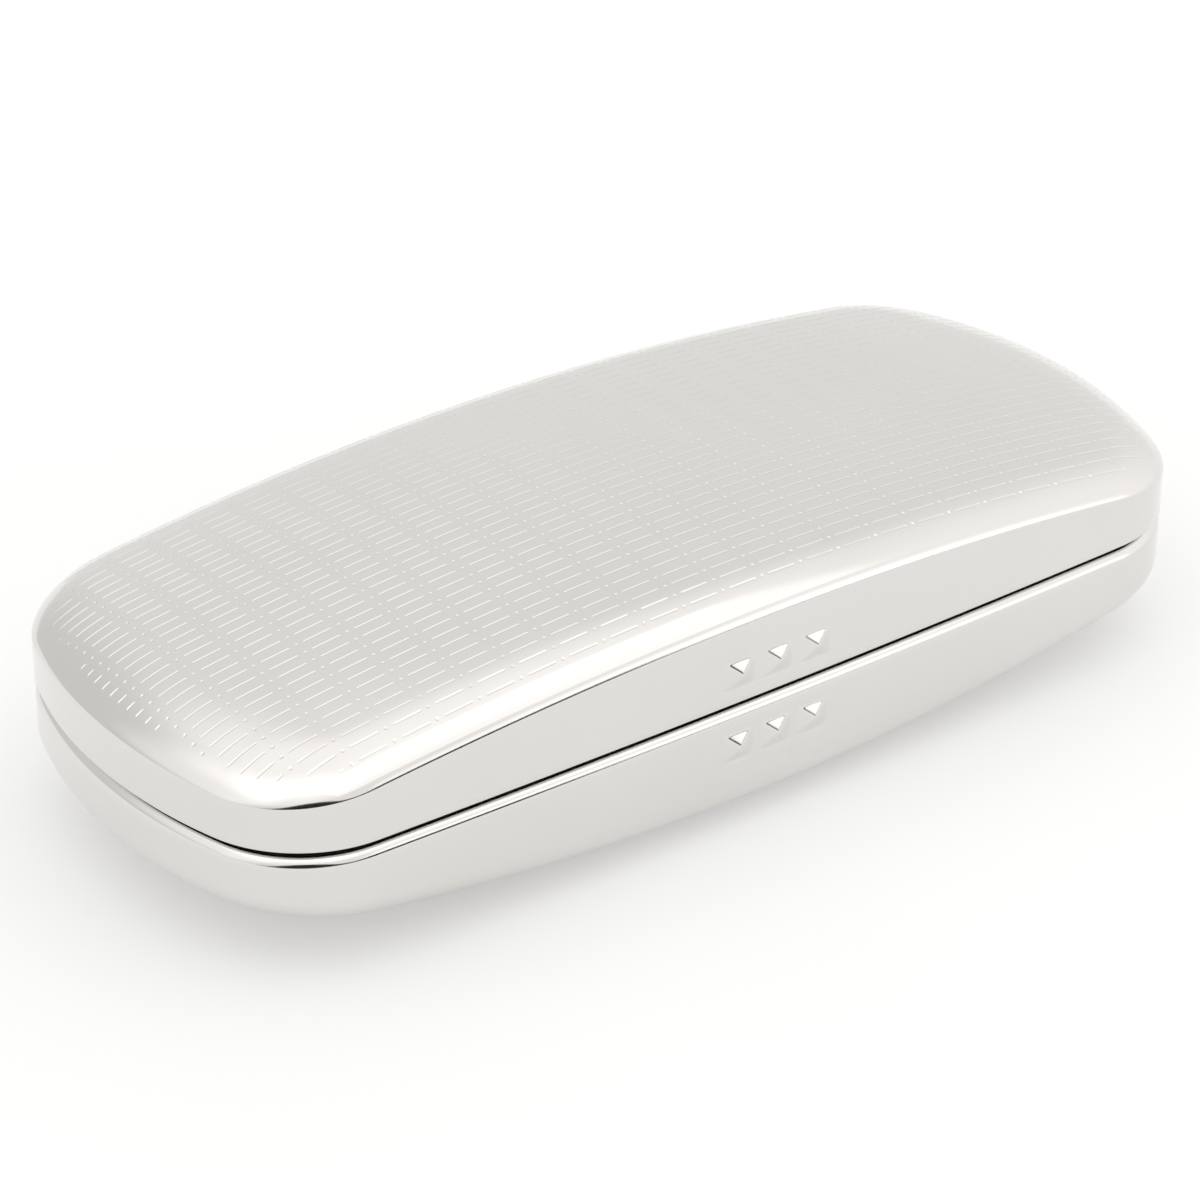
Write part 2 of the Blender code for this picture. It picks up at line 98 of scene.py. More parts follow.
class Plan:
    """The outline: a side arc, a corner arc and an end arc in each quarter, all tangent."""

    def __init__(self):
        side = np.array([0.0, HALF_WIDTH - SIDE_ARC_R])
        end = np.array([HALF_LENGTH - END_ARC_R, 0.0])
        span = np.linalg.norm(end - side)
        to_side, to_end = SIDE_ARC_R - CORNER_R, END_ARC_R - CORNER_R
        along = (span**2 + to_side**2 - to_end**2) / (2 * span)
        across = math.sqrt(to_side**2 - along**2)
        unit = (end - side) / span
        corner = side + unit * along + np.array([unit[1], -unit[0]]) * across
        self.side, self.corner, self.end = side, corner, end
        self.first = math.atan2(*(corner - side)[::-1])
        self.second = math.atan2(*(corner - end)[::-1])

    def columns(self, xs, corner_steps=26, end_steps=18):
        """Outline points and their outward directions, from the middle of the back."""
        tangent_x = SIDE_ARC_R * math.cos(self.first)
        xs = np.array([x for x in xs if x < tangent_x - 0.3 * MM])
        turns = [np.arccos(xs / SIDE_ARC_R)]
        turns.append(np.linspace(self.first, self.second, corner_steps, endpoint=False))
        turns.append(np.linspace(self.second, 0.0, end_steps))
        arcs = ((self.side, SIDE_ARC_R), (self.corner, CORNER_R), (self.end, END_ARC_R))
        points, outward = [], []
        for turn, (centre, radius) in zip(turns, arcs):
            way = np.c_[np.cos(turn), np.sin(turn)]
            points.append(centre + radius * way)
            outward.append(way)
        points, outward = np.vstack(points), np.vstack(outward)
        half = [np.vstack([a, a[-2::-1] * (1, -1)]) for a in (points, outward)]
        return [np.vstack([a, a[-2:0:-1] * (-1, 1)]) for a in half]

    def depth(self, x, y):
        """How far points lie inside the outline, and how much they face an end (0 to 1)."""
        p = np.c_[np.abs(x), np.abs(y)]
        reach = []
        for centre, radius in (
            (self.side, SIDE_ARC_R),
            (self.corner, CORNER_R),
            (self.end, END_ARC_R),
        ):
            away = p - centre
            far = np.maximum(np.linalg.norm(away, axis=1), 1e-9)
            reach.append((radius - far, (away[:, 0] / far) ** 2, away))
        turn = np.arctan2(reach[1][2][:, 1], reach[1][2][:, 0])
        in_corner = (turn < self.first) & (turn > self.second)
        by_side = reach[0][0] < reach[2][0]
        inset = np.where(in_corner, reach[1][0], np.where(by_side, reach[0][0], reach[2][0]))
        share = np.where(in_corner, reach[1][1], np.where(by_side, reach[0][1], reach[2][1]))
        return inset, share


PLAN = Plan()


class Form:
    """A half's curved floor: its height over the seam, falling to the sides and ends.

    The edge is a superellipse that starts upright at the wall and runs smoothly into the
    floor, wider at the ends than along the sides. Of its two powers the first shapes how it
    meets the floor, and the second how tightly it turns away from the wall.
    """

    def __init__(self, side, height, fall, width, drop, powers, flat=None):
        self.side, self.height, self.fall = side, height, fall
        self.width, self.drop, self.powers, self.flat = width, drop, powers, flat

    def inward(self, depth, width, drop):
        """The same form moved in by depth, for what lies inside it."""
        flat = None if self.flat is None else self.flat - depth
        return Form(self.side, self.height - depth, self.fall, width, drop, self.powers, flat)

    def dome(self, x, y):
        rise = self.height - self.fall[0] * (x / HALF_LENGTH) ** 2
        rise = rise - self.fall[1] * (y / HALF_WIDTH) ** 2
        if self.flat is not None:
            rise = rise - FLAT_SOFT * np.logaddexp(0.0, (rise - self.flat) / FLAT_SOFT)
        return rise

    def edge(self, share):
        """Edge width and drop for points that face an end by share."""
        width = self.width[0] + (self.width[1] - self.width[0]) * share
        drop = self.drop[0] + (self.drop[1] - self.drop[0]) * share
        return width, drop

    def floor(self, x, y, inset=0.0):
        """Height at any point of a floor whose own edge lies inset from the outline."""
        depth, share = PLAN.depth(x, y)
        width, drop = self.edge(share)
        c = np.clip(1 - (depth - inset) / width, 0.0, 1.0)
        a, b = self.powers
        rise = self.dome(x, y) - drop * (1 - (1 - c**a) ** (1 / b))
        return self.side * rise

    def edge_rings(self, sweep, inset, steps, reach=None):
        """(inset, height) rings from the top of the wall into the floor, up to reach."""
        width, drop = self.edge(sweep.share)
        a, b = self.powers
        stop = np.full(len(width), math.pi / 2)
        if reach is not None:
            stop = np.arccos((1 - (reach - inset) / width) ** (a / 2))
        for step in range(1, steps + 1):
            turn = stop * step / steps
            cos, sin = np.cos(turn), np.sin(turn)
            ring_inset = inset + width * (1 - np.clip(cos, 0, 1) ** (2 / a))
            x, y = sweep.at(ring_inset).T
            rise = self.dome(x, y) - drop * (1 - sin ** (2 / b))
            yield ring_inset, self.side * rise

    def wall_end(self, sweep, inset):
        x, y = sweep.at(inset).T
        return self.side * (self.dome(x, y) - self.edge(sweep.share)[1])


LID = Form(
    1, 17.66 * MM, (7.1 * MM, 3.14 * MM), (8.3 * MM, 14.0 * MM), (3.3 * MM, 3.9 * MM), (2.6, 1.5)
)
BASE = Form(
    -1, 20.39 * MM, (8.43 * MM, 2.82 * MM), (9.2 * MM, 10.0 * MM), (4.2 * MM, 4.3 * MM), (2.1, 2.1),
    flat=ORIGIN.z,
)


# ---------------------------------------------------------------- mesh building
class Sweep:
    """Builds a mesh from rings that follow the outline, each at an inset and a height."""

    def __init__(self, xs, corner_steps=26, end_steps=18):
        self.points, self.outward = PLAN.columns(xs, corner_steps, end_steps)
        self.share = self.outward[:, 0] ** 2
        self.count = len(self.points)
        self.verts, self.faces, self.last = [], [], None
        self.back = self.points[:, 1] > 0
        self.x = self.points[:, 0]

    def at(self, inset):
        return self.points - self.outward * np.reshape(inset, (-1, 1))

    def behind(self, low, high, value, other):
        """value for the columns at the back whose |x| lies between low and high."""
        x = np.abs(self.x)
        return np.where(self.back & (x > low) & (x < high), value, other)

    def size(self):
        return sum(len(block) for block in self.verts)

    def ring(self, inset, height):
        plan = self.at(np.broadcast_to(inset, self.count))
        self.add_ring(np.c_[plan, np.broadcast_to(height, self.count)])

    def add_ring(self, points):
        start = self.size()
        self.verts.append(points)
        here = np.arange(start, start + self.count)
        if self.last is not None:
            last = self.last
            nxt = np.roll(np.arange(self.count), -1)
            self.faces += np.c_[last, last[nxt], here[nxt], here].tolist()
        self.last = here

    def scaled(self, form, inset, lift, steps):
        """Rings of a floor from its inset to the middle, closed by a fan."""
        edge = self.at(inset)
        for step in range(1, steps):
            x, y = (edge * (1 - step / steps)).T
            self.add_ring(np.c_[x, y, form.side * form.dome(x, y) + lift])
        tip = self.size()
        zero = np.zeros(1)
        self.verts.append(np.c_[zero, zero, form.side * form.dome(zero, zero) + lift])
        nxt = np.roll(self.last, -1)
        self.faces += [[int(a), int(b), tip] for a, b in zip(self.last, nxt)]

    def close(self, first):
        """Joins the last ring back to the ring whose first vertex is first."""
        ring = np.arange(first, first + self.count)
        nxt = np.roll(np.arange(self.count), -1)
        self.faces += np.c_[self.last, self.last[nxt], ring[nxt], ring].tolist()

    def made(self, name, body, finish, nodes):
        return made(name, np.vstack(self.verts), self.faces, body, finish, nodes)


def made(name, verts, faces, body, finish, nodes=()):
    """A smooth piece that rides on a body, stands for nodes and has a material."""
    mesh = bpy.data.meshes.new(name)
    mesh.from_pydata((np.asarray(verts) + np.array(ORIGIN)).tolist(), [], faces)
    mesh.validate()
    work = bmesh.new()
    work.from_mesh(mesh)
    bmesh.ops.recalc_face_normals(work, faces=work.faces)
    work.to_mesh(mesh)
    work.free()
    mesh.shade_smooth()
    mesh.materials.append(MATERIALS[finish])
    obj = bpy.data.objects.new(name, mesh)
    bpy.context.scene.collection.objects.link(obj)
    if body:
        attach(obj, body)
    if nodes:
        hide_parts(*nodes)
    return obj


# ---------------------------------------------------------------- materials
MATERIALS = {}


class Nodes:
    """Short calls for building a material's nodes."""

    def __init__(self, name):
        self.material = bpy.data.materials.new(name)
        self.material.use_nodes = True
        self.tree = self.material.node_tree
        self.shader = self.tree.nodes["Principled BSDF"]
        self.place = self.add("ShaderNodeTexCoord").outputs["Object"]
        MATERIALS[name] = self.material

    def add(self, kind, **values):
        node = self.tree.nodes.new(kind)
        for key, value in values.items():
            if key in node.inputs:
                node.inputs[key].default_value = value
            else:
                setattr(node, key, value)
        return node

    def link(self, a, b):
        self.tree.links.new(a, b)

    def noise(self, scale, detail=3.0, stretch=(1.0, 1.0, 1.0)):
        """Noise at scale bumps per metre, stretched along the axes."""
        mapping = self.add("ShaderNodeMapping")
        mapping.inputs["Scale"].default_value = [scale * s for s in stretch]
        self.link(self.place, mapping.inputs["Vector"])
        node = self.add("ShaderNodeTexNoise", Scale=1.0, Detail=detail)
        self.link(mapping.outputs["Vector"], node.inputs["Vector"])
        return node.outputs["Fac"]

    def mixed(self, a, b):
        """The average of two noises."""
        node = self.add("ShaderNodeMath", operation="ADD")
        half = self.add("ShaderNodeMath", operation="MULTIPLY")
        half.inputs[1].default_value = 0.5
        self.link(a, node.inputs[0])
        self.link(b, node.inputs[1])
        self.link(node.outputs["Value"], half.inputs[0])
        return half.outputs["Value"]

    def spread(self, factor, low, high, target):
        """Maps a 0 to 1 factor onto low to high, into a shader input."""
        node = self.add("ShaderNodeMapRange")
        node.inputs["From Min"].default_value = 0.3
        node.inputs["From Max"].default_value = 0.7
        node.inputs["To Min"].default_value = low
        node.inputs["To Max"].default_value = high
        self.link(factor, node.inputs["Value"])
        self.link(node.outputs["Result"], target)

    def tint(self, factor, dark, light):
        node = self.add("ShaderNodeValToRGB")
        node.color_ramp.elements[0].position = 0.3
        node.color_ramp.elements[1].position = 0.7
        node.color_ramp.elements[0].color = (*dark, 1.0)
        node.color_ramp.elements[1].color = (*light, 1.0)
        self.link(factor, node.inputs["Fac"])
        self.link(node.outputs["Color"], self.shader.inputs["Base Color"])

    def bump(self, factor, strength, distance):
        node = self.add("ShaderNodeBump", Strength=strength, Distance=distance)
        self.link(factor, node.inputs["Height"])
        self.link(node.outputs["Normal"], self.shader.inputs["Normal"])


def polished_aluminium():
    """Buffed and lacquered sheet: faint haze, and a very fine grain along the case."""
    n = Nodes("polished_aluminium")
    n.shader.inputs["Metallic"].default_value = 1.0
    n.tint(n.noise(28.0, 4.0), (0.715, 0.698, 0.678), (0.735, 0.718, 0.700))
    n.spread(n.noise(55.0, 5.0), 0.105, 0.15, n.shader.inputs["Roughness"])
    n.bump(n.noise(900.0, 3.0, (0.25, 1.0, 1.0)), 0.03, 0.02 * MM)
    n.shader.inputs["Coat Weight"].default_value = 0.15
    n.shader.inputs["Coat Roughness"].default_value = 0.05


def black_moulding():
    """Fine spark-eroded black plastic."""
    n = Nodes("black_moulding")
    n.tint(n.noise(120.0, 3.0), (0.012, 0.012, 0.013), (0.024, 0.024, 0.026))
    n.spread(n.noise(400.0, 2.0), 0.42, 0.58, n.shader.inputs["Roughness"])
    n.bump(n.noise(3500.0, 2.0), 0.25, 0.03 * MM)


def grey_flock():
    """Short dense fibres, mottled by the way they lie, with a faint bloom at the edges."""
    n = Nodes("grey_flock")
    mottle = n.mixed(n.noise(70.0, 3.0), n.noise(1900.0, 3.0))
    n.tint(mottle, (0.040, 0.041, 0.046), (0.105, 0.106, 0.114))
    n.shader.inputs["Roughness"].default_value = 1.0
    n.shader.inputs["Specular IOR Level"].default_value = 0.2
    n.shader.inputs["Sheen Weight"].default_value = 0.45
    n.shader.inputs["Sheen Roughness"].default_value = 0.35
    n.bump(n.noise(2600.0, 5.0), 0.9, 0.25 * MM)


def foam():
    n = Nodes("foam")
    n.tint(n.noise(900.0, 4.0), (0.24, 0.24, 0.25), (0.42, 0.42, 0.43))
    n.shader.inputs["Roughness"].default_value = 0.95
    n.bump(n.noise(2200.0, 4.0), 0.8, 0.2 * MM)


def plated_steel():
    """Nickel-plated steel with drawn lines along the case."""
    n = Nodes("plated_steel")
    n.shader.inputs["Metallic"].default_value = 1.0
    n.tint(n.noise(90.0, 4.0), (0.56, 0.55, 0.53), (0.66, 0.65, 0.63))
    n.spread(n.noise(700.0, 3.0, (0.05, 1.0, 1.0)), 0.22, 0.38, n.shader.inputs["Roughness"])
    n.bump(n.noise(2600.0, 2.0, (0.04, 1.0, 1.0)), 0.12, 0.02 * MM)


def spring_steel():
    """Blued and oiled spring strip."""
    n = Nodes("spring_steel")
    n.shader.inputs["Metallic"].default_value = 1.0
    n.tint(n.noise(150.0, 4.0), (0.24, 0.25, 0.28), (0.36, 0.36, 0.38))
    n.spread(n.noise(500.0, 3.0), 0.25, 0.42, n.shader.inputs["Roughness"])
    n.bump(n.noise(2200.0, 2.0, (1.0, 0.06, 0.06)), 0.1, 0.02 * MM)


def grey_rubber():
    n = Nodes("grey_rubber")
    n.tint(n.noise(700.0, 3.0), (0.10, 0.10, 0.11), (0.19, 0.19, 0.20))
    n.shader.inputs["Roughness"].default_value = 0.8
    n.bump(n.noise(3000.0, 2.0), 0.3, 0.04 * MM)


for build in (
    polished_aluminium, black_moulding, grey_flock, foam, plated_steel, spring_steel, grey_rubber
):
    build()


# ---------------------------------------------------------------- shells
STUD_PITCH = 6.15 * MM
STUD_HALF = (2.3 * MM, 1.95 * MM)
STUD_RISE = 0.78 * MM
STUD_GROOVE = 0.05 * MM
# Softness of the ridges and the foot, and the groove's width, as shares of a stud
STUD_RIDGE = 0.15
STUD_FOOT = 0.035
GROOVE_WIDTH = 0.06
LID_STUD_Z = 4.4 * MM
BASE_STUD_Z = -6.45 * MM
# Rows and columns are close together over the studs
WALL_REACH = 2.45 * MM
WALL_ROWS = 51
FINE_PITCH, FINE_END = 0.11 * MM, 11.4 * MM
COARSE_MM = (12.0, 62.0, 1.4)
# Width and drop of each shell's inner edge, along the sides and at the ends
LID_INSIDE = ((7.5 * MM, 13.2 * MM), (3.3 * MM, 3.9 * MM))
BASE_INSIDE = ((8.4 * MM, 9.2 * MM), (4.2 * MM, 4.3 * MM))
LIP_SOFT = 0.12 * MM
NOTCH_BREAK = 0.05 * MM
# The lip inside the rolled mouth: how far past the roll, how far down and how far in at the
# notch, the last two as shares of the sheet's thickness
MOUTH_FOLD = ((-0.06 * MM, 1.0, 0.7), (0.05 * MM, 0.85, 0.6), (0.05 * MM, 0.15, 0.5))


def side_xs(fine, *cuts):
    """Column places along a side: fine apart over the studs, with a step at each cut."""
    xs = list(np.arange(0.0, FINE_END, fine)) + list(np.arange(*COARSE_MM) * MM)
    for cut in cuts:
        xs = [x for x in xs if abs(x - cut) > 4 * STEP] + [cut - STEP, cut + STEP]
    return sorted(xs)


def stud_rise(sweep, height, level):
    """How far the three pressed pyramids stand out of the front wall."""
    total = np.zeros(sweep.count)
    peak = 1 - STUD_RIDGE / 2
    for index in (-1, 0, 1):
        a = np.abs(sweep.x - index * STUD_PITCH) / STUD_HALF[0]
        b = np.abs(height - level) / STUD_HALF[1]
        m = (a + b + np.hypot(a - b, STUD_RIDGE)) / 2
        total += STUD_RISE * STUD_FOOT * np.logaddexp(0.0, (1 - m) / STUD_FOOT) / peak
        total -= STUD_GROOVE * np.exp(-(((m - 1 - 2 * GROOVE_WIDTH) / GROOVE_WIDTH) ** 2))
    reach = np.abs(sweep.x) < 2 * STUD_PITCH
    return np.where(~sweep.back & reach, total, 0.0)


def wall(sweep, start, end, level):
    """Upright wall rings from start to end, close together where the studs are."""
    middle = int(np.argmin(np.abs(sweep.x) + sweep.points[:, 1]))
    z0, z1 = np.broadcast_to(start, sweep.count)[middle], end[middle]
    reach = WALL_REACH * (1 if z1 > z0 else -1)
    close = np.linspace(level - reach, level + reach, WALL_ROWS)
    for z in (z0, (z0 + close[0]) / 2, *close, (close[-1] + z1) / 2, z1):
        height = start + (end - start) * (z - z0) / (z1 - z0)
        sweep.ring(-stud_rise(sweep, height, level), height)


def lid_shell():
    """Domed outer skin with the engraving cut in, a bevelled lower edge, and the inside."""
    sweep = Sweep(side_xs(FINE_PITCH, NOTCH_HALF))
    rim = sweep.behind(0, NOTCH_HALF, LID_NOTCH_Z, 0.0)
    inner = LID.inward(SHELL_T, *LID_INSIDE)
    inner_top = inner.wall_end(sweep, SHELL_T)

    # The inside, from its middle to the mouth, then the outside up to the pattern
    sweep.ring(SHELL_T, inner_top)
    mid = CORNER_MID * LIP_SOFT
    sweep.ring(SHELL_T, rim + LIP_SOFT)
    sweep.ring(SHELL_T - mid, rim + mid)
    sweep.ring(SHELL_T - LIP_SOFT, rim)
    sweep.ring(LIP_SOFT, rim)
    sweep.ring(mid, rim + mid)
    wall(sweep, rim + LIP_SOFT, LID.wall_end(sweep, 0.0), LID_STUD_Z)
    for ring in LID.edge_rings(sweep, 0.0, 14, reach=PATTERN_RING):
        sweep.ring(*ring)
    fill_pattern(sweep, sweep.last)

    # The ceiling inside
    sweep.last = np.arange(0, sweep.count)
    for ring in inner.edge_rings(sweep, SHELL_T, 6):
        sweep.ring(*ring)
    width = inner.edge(sweep.share)[0]
    sweep.scaled(inner, SHELL_T + width, 0.0, 8)
    shell = sweep.made("lid_skin", "lid", "polished_aluminium", ("lid_shell",))
    shade_pattern(shell)
    return shell


# ---------------------------------------------------------------- engraving
ROW_PITCH = 1.956 * MM
DASH_PITCH = 6.27 * MM
DASH_LENGTH = 4.35 * MM
DASH_MIDDLE = 3.24 * MM
DASHES_EACH_WAY = 14
SHORTEST_DASH = 0.8 * MM
ROW_PHASE = 0.59
LINE_HALF = 0.18 * MM
DOT_R = 0.30 * MM
LINE_DEPTH = 0.07 * MM
DOT_DEPTH = 0.10 * MM
PATTERN_RING = 1.8 * MM
PATTERN_EDGE = 2.4 * MM
SLOPE_STEP = 0.05 * MM


def pattern_rows():
    """(y, reach) of each engraved row, reach being how far it runs to either side."""
    count = int(HALF_WIDTH / ROW_PITCH) + 1
    xs = np.linspace(0.0, HALF_LENGTH, 1601)
    for index in range(-count, count):
        y = (index + ROW_PHASE) * ROW_PITCH
        inside = xs[PLAN.depth(xs, np.full(len(xs), y))[0] > PATTERN_EDGE]
        if abs(y) < HALF_WIDTH and len(inside):
            yield y, inside[-1]


def engraved_marks():
    """Outline, deepest line and depth of every dash and dot, in turn along straight rows."""
    for y, reach in pattern_rows():
        for index in range(-DASHES_EACH_WAY, DASHES_EACH_WAY + 1):
            middle = DASH_MIDDLE + index * DASH_PITCH
            start = max(middle - DASH_LENGTH / 2, -reach)
            stop = min(middle + DASH_LENGTH / 2, reach)
            if stop - start > SHORTEST_DASH:
                xs = np.linspace(start + LINE_HALF, stop - LINE_HALF, 5)
                low = [(x, y - LINE_HALF) for x in xs]
                high = [(x, y + LINE_HALF) for x in xs[::-1]]
                yield [(start, y), *low, (stop, y), *high], [(x, y) for x in xs], LINE_DEPTH
            dot = middle + DASH_PITCH / 2
            if abs(dot) + DOT_R < reach:
                turns = np.arange(8) * math.pi / 4
                ring = [(dot + DOT_R * math.cos(t), y + DOT_R * math.sin(t)) for t in turns]
                yield ring, [(dot, y)], DOT_DEPTH


def fill_pattern(sweep, border):
    """Fills the lid's top inside a ring of vertices, with every mark pressed down."""
    base = sweep.size()
    start = np.vstack(sweep.verts)[border]
    flat = [tuple(p[:2]) for p in start]
    count = len(flat)
    edges = [(i, (i + 1) % count) for i in range(count)]
    depths = {}
    for outline, bottom, depth in engraved_marks():
        first = len(flat)
        flat += outline
        edges += [(first + i, first + (i + 1) % len(outline)) for i in range(len(outline))]
        first = len(flat)
        flat += bottom
        depths.update((i, depth) for i in range(first, first + len(bottom)))
        edges += [(first + i, first + i + 1) for i in range(len(bottom) - 1)]
    for row, reach in pattern_rows():
        y = row + ROW_PITCH / 2
        xs = np.arange(-reach, reach, DASH_PITCH / 4)
        clear = PLAN.depth(xs, np.full(len(xs), y))[0] > PATTERN_EDGE
        flat += [(x, y) for x in xs[clear]]
    points, _, faces, origins, _, _ = delaunay_2d_cdt(
        [Vector(p) for p in flat], edges, [], 1, 1e-8
    )
    sunk = np.array([max((depths.get(o, 0.0) for o in origin), default=0.0) for origin in origins])
    outer = {o: i for i, origin in enumerate(origins) for o in origin if o < count}
    xy = np.array([tuple(p) for p in points])
    z = LID.floor(xy[:, 0], xy[:, 1]) - sunk
    index = np.arange(base, base + len(points))
    for o, i in outer.items():
        index[i] = border[o]
    sweep.verts.append(np.c_[xy, z])
    sweep.faces += [[int(index[i]) for i in face] for face in faces]


def shade_pattern(shell):
    """Exact normals on the lid's top, and flat facets inside the marks."""
    mesh = shell.data
    count = len(mesh.vertices)
    co = np.zeros(count * 3, np.float32)
    mesh.vertices.foreach_get("co", co)
    co = co.reshape(-1, 3).astype(float) - np.array(ORIGIN)
    x, y, z = co.T
    step = SLOPE_STEP
    top = LID.floor(x, y)
    on_top = (PLAN.depth(x, y)[0] > PATTERN_RING - STEP) & (z > top - 0.5 * LINE_DEPTH)
    sunk = (PLAN.depth(x, y)[0] > PATTERN_EDGE) & (z < top - 0.5 * LINE_DEPTH)
    sunk &= z > top - 1.5 * DOT_DEPTH
    slope_x = (LID.floor(x + step, y) - LID.floor(x - step, y)) / (2 * step)
    slope_y = (LID.floor(x, y + step) - LID.floor(x, y - step)) / (2 * step)
    exact = np.c_[-slope_x, -slope_y, np.ones(count)]
    exact /= np.linalg.norm(exact, axis=1)[:, None]
    smooth = np.zeros(count * 3, np.float32)
    mesh.vertex_normals.foreach_get("vector", smooth)
    smooth = smooth.reshape(-1, 3)
    wanted = np.where(on_top[:, None], exact, smooth)
    normals = []
    for face in mesh.polygons:
        cut = any(sunk[v] for v in face.vertices)
        for v in face.vertices:
            normals.append(tuple(face.normal) if cut else tuple(wanted[v]))
    mesh.normals_split_custom_set(normals)


def base_shell():
    """Lower skin: rolled shoulder round the mouth, wall with studs, rounded underside."""
    sweep = Sweep(side_xs(FINE_PITCH, NOTCH_HALF))
    cut = sweep.behind(0, NOTCH_HALF, 1.0, 0.0)
    inner = BASE.inward(SHELL_T, *BASE_INSIDE)

    def mouth(inset, height, cut_inset, cut_height=BASE_NOTCH_Z):
        sweep.ring(
            np.where(cut > 0, cut_inset, inset), np.where(cut > 0, cut_height, height)
        )

    first = sweep.size()
    mouth(SHELL_T, SHOULDER_Z, SHELL_T, BASE_NOTCH_Z - NOTCH_BREAK)
    for turn in np.linspace(0, math.pi / 2, 6, endpoint=False)[1:]:
        inset = ROLL_IN - (ROLL_IN - SHELL_T) * math.cos(turn)
        height = SHOULDER_Z + (ROLL_RISE - SHELL_T) * math.sin(turn)
        mouth(inset, height, SHELL_T * (1 - 0.1 * turn))
    top = SHOULDER_Z + ROLL_RISE
    for past, down, cut_in in MOUTH_FOLD:
        mouth(ROLL_IN + past, top - SHELL_T * down, cut_in * SHELL_T)
    for turn in np.linspace(math.pi / 2, 0, 13, endpoint=False):
        inset = ROLL_IN * (1 - math.cos(turn))
        height = SHOULDER_Z + ROLL_RISE * math.sin(turn)
        mouth(inset, height, 0.25 * SHELL_T * turn)
    start = np.where(cut > 0, BASE_NOTCH_Z - NOTCH_BREAK, SHOULDER_Z)
    wall(sweep, start, BASE.wall_end(sweep, 0.0), BASE_STUD_Z)
    for ring in BASE.edge_rings(sweep, 0.0, 20):
        sweep.ring(*ring)
    sweep.scaled(BASE, BASE.edge(sweep.share)[0], 0.0, 18)

    sweep.last = np.arange(first, first + sweep.count)
    sweep.ring(SHELL_T, inner.wall_end(sweep, SHELL_T))
    for ring in inner.edge_rings(sweep, SHELL_T, 6):
        sweep.ring(*ring)
    sweep.scaled(inner, SHELL_T + inner.edge(sweep.share)[0], 0.0, 8)
    return sweep.made("base_skin", "base", "polished_aluminium", ("base_shell",))


lid_shell()
base_shell()

# ---------------------------------------------------------------- frames and liners
FRAME_OUT, FRAME_IN = 1.1 * MM, 3.9 * MM
LIP_OUT, LIP_TOP = 2.4 * MM, 0.8 * MM
LID_FRAME_Z = (1.1 * MM, 5.0 * MM)
BASE_FRAME_Z = (-5.5 * MM, -3.0 * MM)
WINDOW_Z = 5.2 * MM
WINDOW_IN = (1.8 * MM, 9.0 * MM)
WINDOW_HALF = 3.7 * MM
SPRING_XS = (-9.0 * MM, 9.0 * MM)
POCKET_IN = 2.0 * MM
POCKET_Z = (-1.5 * MM, 9.4 * MM)
TAB_HALF = 24.0 * MM
TAB_Z = (3.7 * MM, 10.2 * MM)
TAB_CUT = ((POCKET_IN - 0.6 * MM, 6 * MM), (TAB_Z[0] + 0.01 * MM, 8 * MM))
SEAT_R, SEAT_DEEP, SEAT_IN = 1.8 * MM, 1.2 * MM, 2.95 * MM
# The front stop and its pocket: x, in from the hinge's plane, and over the seam
STOP = ((-1.5 * MM, 1.5 * MM), (64.4 * MM, 65.75 * MM), (-0.4 * MM, 0.95 * MM))
STOP_POCKET = ((-1.8 * MM, 1.8 * MM), (64.1 * MM, 66.05 * MM), (-0.7 * MM, 1.3 * MM))
SCREW_XS = (-18.0 * MM, 0.0, 18.0 * MM)
SCREW_Z = 6.8 * MM
LINER_INSET = 4.2 * MM
LINER_T = 0.8 * MM
LINER_DEPTH = 2.9 * MM
LINER_EDGE = 8 * MM
FOAM_INSET = 13.2 * MM
FOAM_DEPTHS = (1.35 * MM, 2.35 * MM)


def smooth_flat(obj, degrees=35):
    """Smooth shading with sharp edges where faces meet at more than the angle."""
    obj.data.shade_smooth()
    obj.data.set_sharp_from_angle(angle=math.radians(degrees))


def bevelled(work, width, segments=3):
    """Rounds every edge of a bmesh that turns by more than 30 degrees."""
    edges = [e for e in work.edges if e.is_manifold and e.calc_face_angle() > math.radians(30)]
    bmesh.ops.bevel(
        work, geom=edges, offset=width, segments=segments, affect="EDGES", clamp_overlap=True
    )


def block(x, inward, z, width=0.2 * MM):
    """A rounded box by its ranges: x, in from the hinge's plane, and over the seam."""
    work = bmesh.new()
    bmesh.ops.create_cube(work, size=1.0)
    lows, highs = (x[0], HALF_WIDTH - inward[1], z[0]), (x[1], HALF_WIDTH - inward[0], z[1])
    for vert in work.verts:
        vert.co = [
            (low + high) / 2 + side * (high - low)
            for low, high, side in zip(lows, highs, vert.co)
        ]
    if width:
        bevelled(work, width)
    return work


def lathe(profile, start, steps=48):
    """A turned solid along +X from start; profile gives (distance along, radius)."""
    work = bmesh.new()
    rings = []
    for along, radius in profile:
        turns = np.arange(steps) * 2 * math.pi / steps
        ring = np.c_[
            np.full(steps, start[0] + along),
            start[1] + radius * np.cos(turns),
            start[2] + radius * np.sin(turns),
        ]
        rings.append([work.verts.new(tuple(p)) for p in ring])
    for low, high in zip(rings, rings[1:] + rings[:1]):
        for k in range(steps):
            m = (k + 1) % steps
            work.faces.new((low[k], low[m], high[m], high[k]))
    bmesh.ops.remove_doubles(work, verts=work.verts, dist=1e-7)
    bmesh.ops.recalc_face_normals(work, faces=work.faces)
    return work


